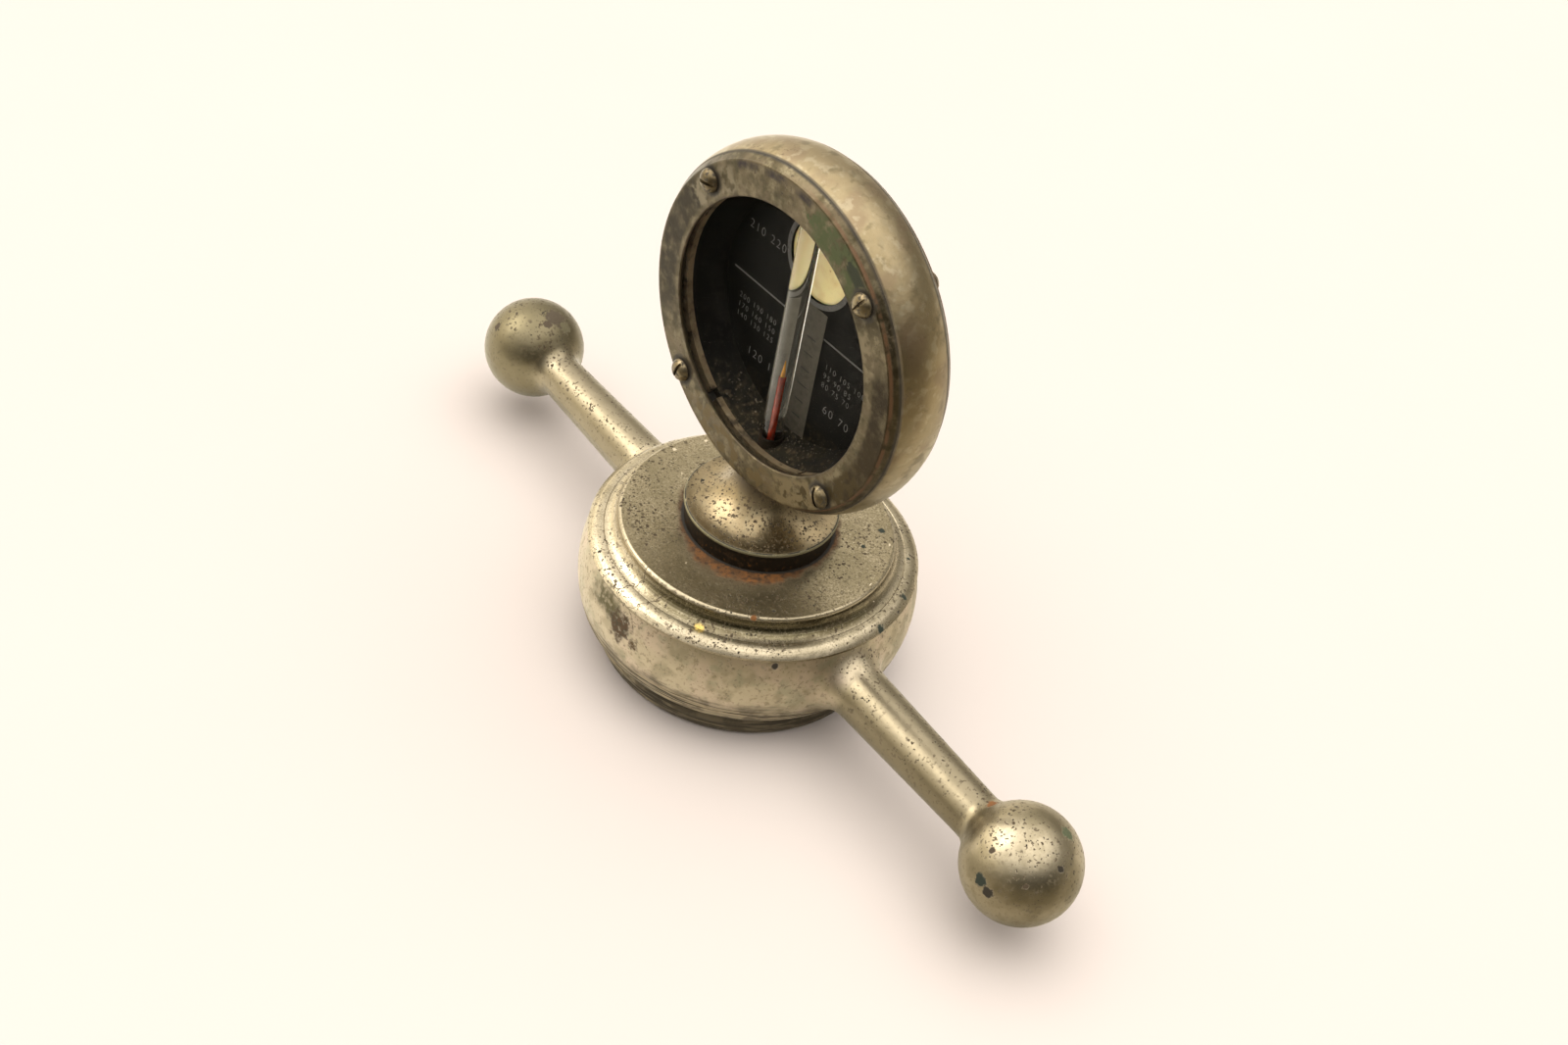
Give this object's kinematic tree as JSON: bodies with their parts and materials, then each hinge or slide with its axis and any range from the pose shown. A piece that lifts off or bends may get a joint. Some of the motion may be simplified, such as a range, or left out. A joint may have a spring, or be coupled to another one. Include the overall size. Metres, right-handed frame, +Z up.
{
  "type": "radiator cap temperature gauge",
  "caption": "Round two-sided thermometer gauge swivelling on a ball-ended screw cap, with a glass tube before a black dial.",
  "frame": {"origin": "centre of the cap's foot ring, where the cap stands on a surface", "axes": "+Z up along the cap and swivel axis, +X along the arms, the front of the dial faces -Y"},
  "size_m": [0.225, 0.0814, 0.1335],
  "materials": {
    "cap_nickel": "worn, pitted nickel plate over brass",
    "foot_nickel": "worn nickel plate with dense dark pits",
    "case_nickel": "satin nickel plate over brass, yellowed",
    "bezel_nickel": "nickel plate, tarnished and stained green and brown",
    "screw_steel": "tarnished round heads",
    "zinc_steel": "dull zinc plate",
    "bare_brass": "turned, aged brass",
    "brown_bronze": "brown spring bronze",
    "black_rubber": "hardened dark rubber",
    "black_enamel": "matt black enamel, dusty",
    "dial_print": "matt black with grey printed rules and numerals",
    "window_celluloid": "translucent pale yellow",
    "clear_glass": "clear, thinly dusted",
    "tube_glass": "clear drawn glass",
    "red_spirit": "clear red liquid"
  },
  "bodies": {
    "cap": {"cap_body": "cap_nickel", "thread_ring": "bare_brass", "neck_gasket": "black_rubber", "seat_gasket": "black_rubber"},
    "gauge": {"pedestal": "foot_nickel", "mounting_stud": "bare_brass", "plain_washer": "zinc_steel", "lock_washer": "zinc_steel", "clamp_nut": "bare_brass", "stem_tube": "bare_brass", "case_ring": "case_nickel", "front_bezel": "bezel_nickel", "rear_bezel": "bezel_nickel", "front_screws": "screw_steel", "rear_screws": "screw_steel", "front_glass": "clear_glass", "rear_glass": "clear_glass", "front_seal": "black_rubber", "rear_seal": "black_rubber", "front_retaining_ring": "brown_bronze", "rear_retaining_ring": "brown_bronze", "dial_surround": "black_enamel", "dial_plate": "dial_print", "rear_plate": "black_enamel", "window": "window_celluloid", "thermometer_tube": "tube_glass", "bulb_spirit": "red_spirit", "lower_bush": "black_rubber", "upper_bush": "black_rubber"},
    "column": {"spirit_column": "red_spirit"}
  },
  "joints": [
    {"name": "gauge_swivel", "type": "hinge", "parent": "cap", "child": "gauge", "pos_m": [0, 0, 0.0372], "axis": [0, 0, 1], "continuous": true},
    {"name": "column_rise", "type": "slide", "parent": "gauge", "child": "column", "axis": [0, 0, 1], "range_m": [0, 0.033]}
  ]
}
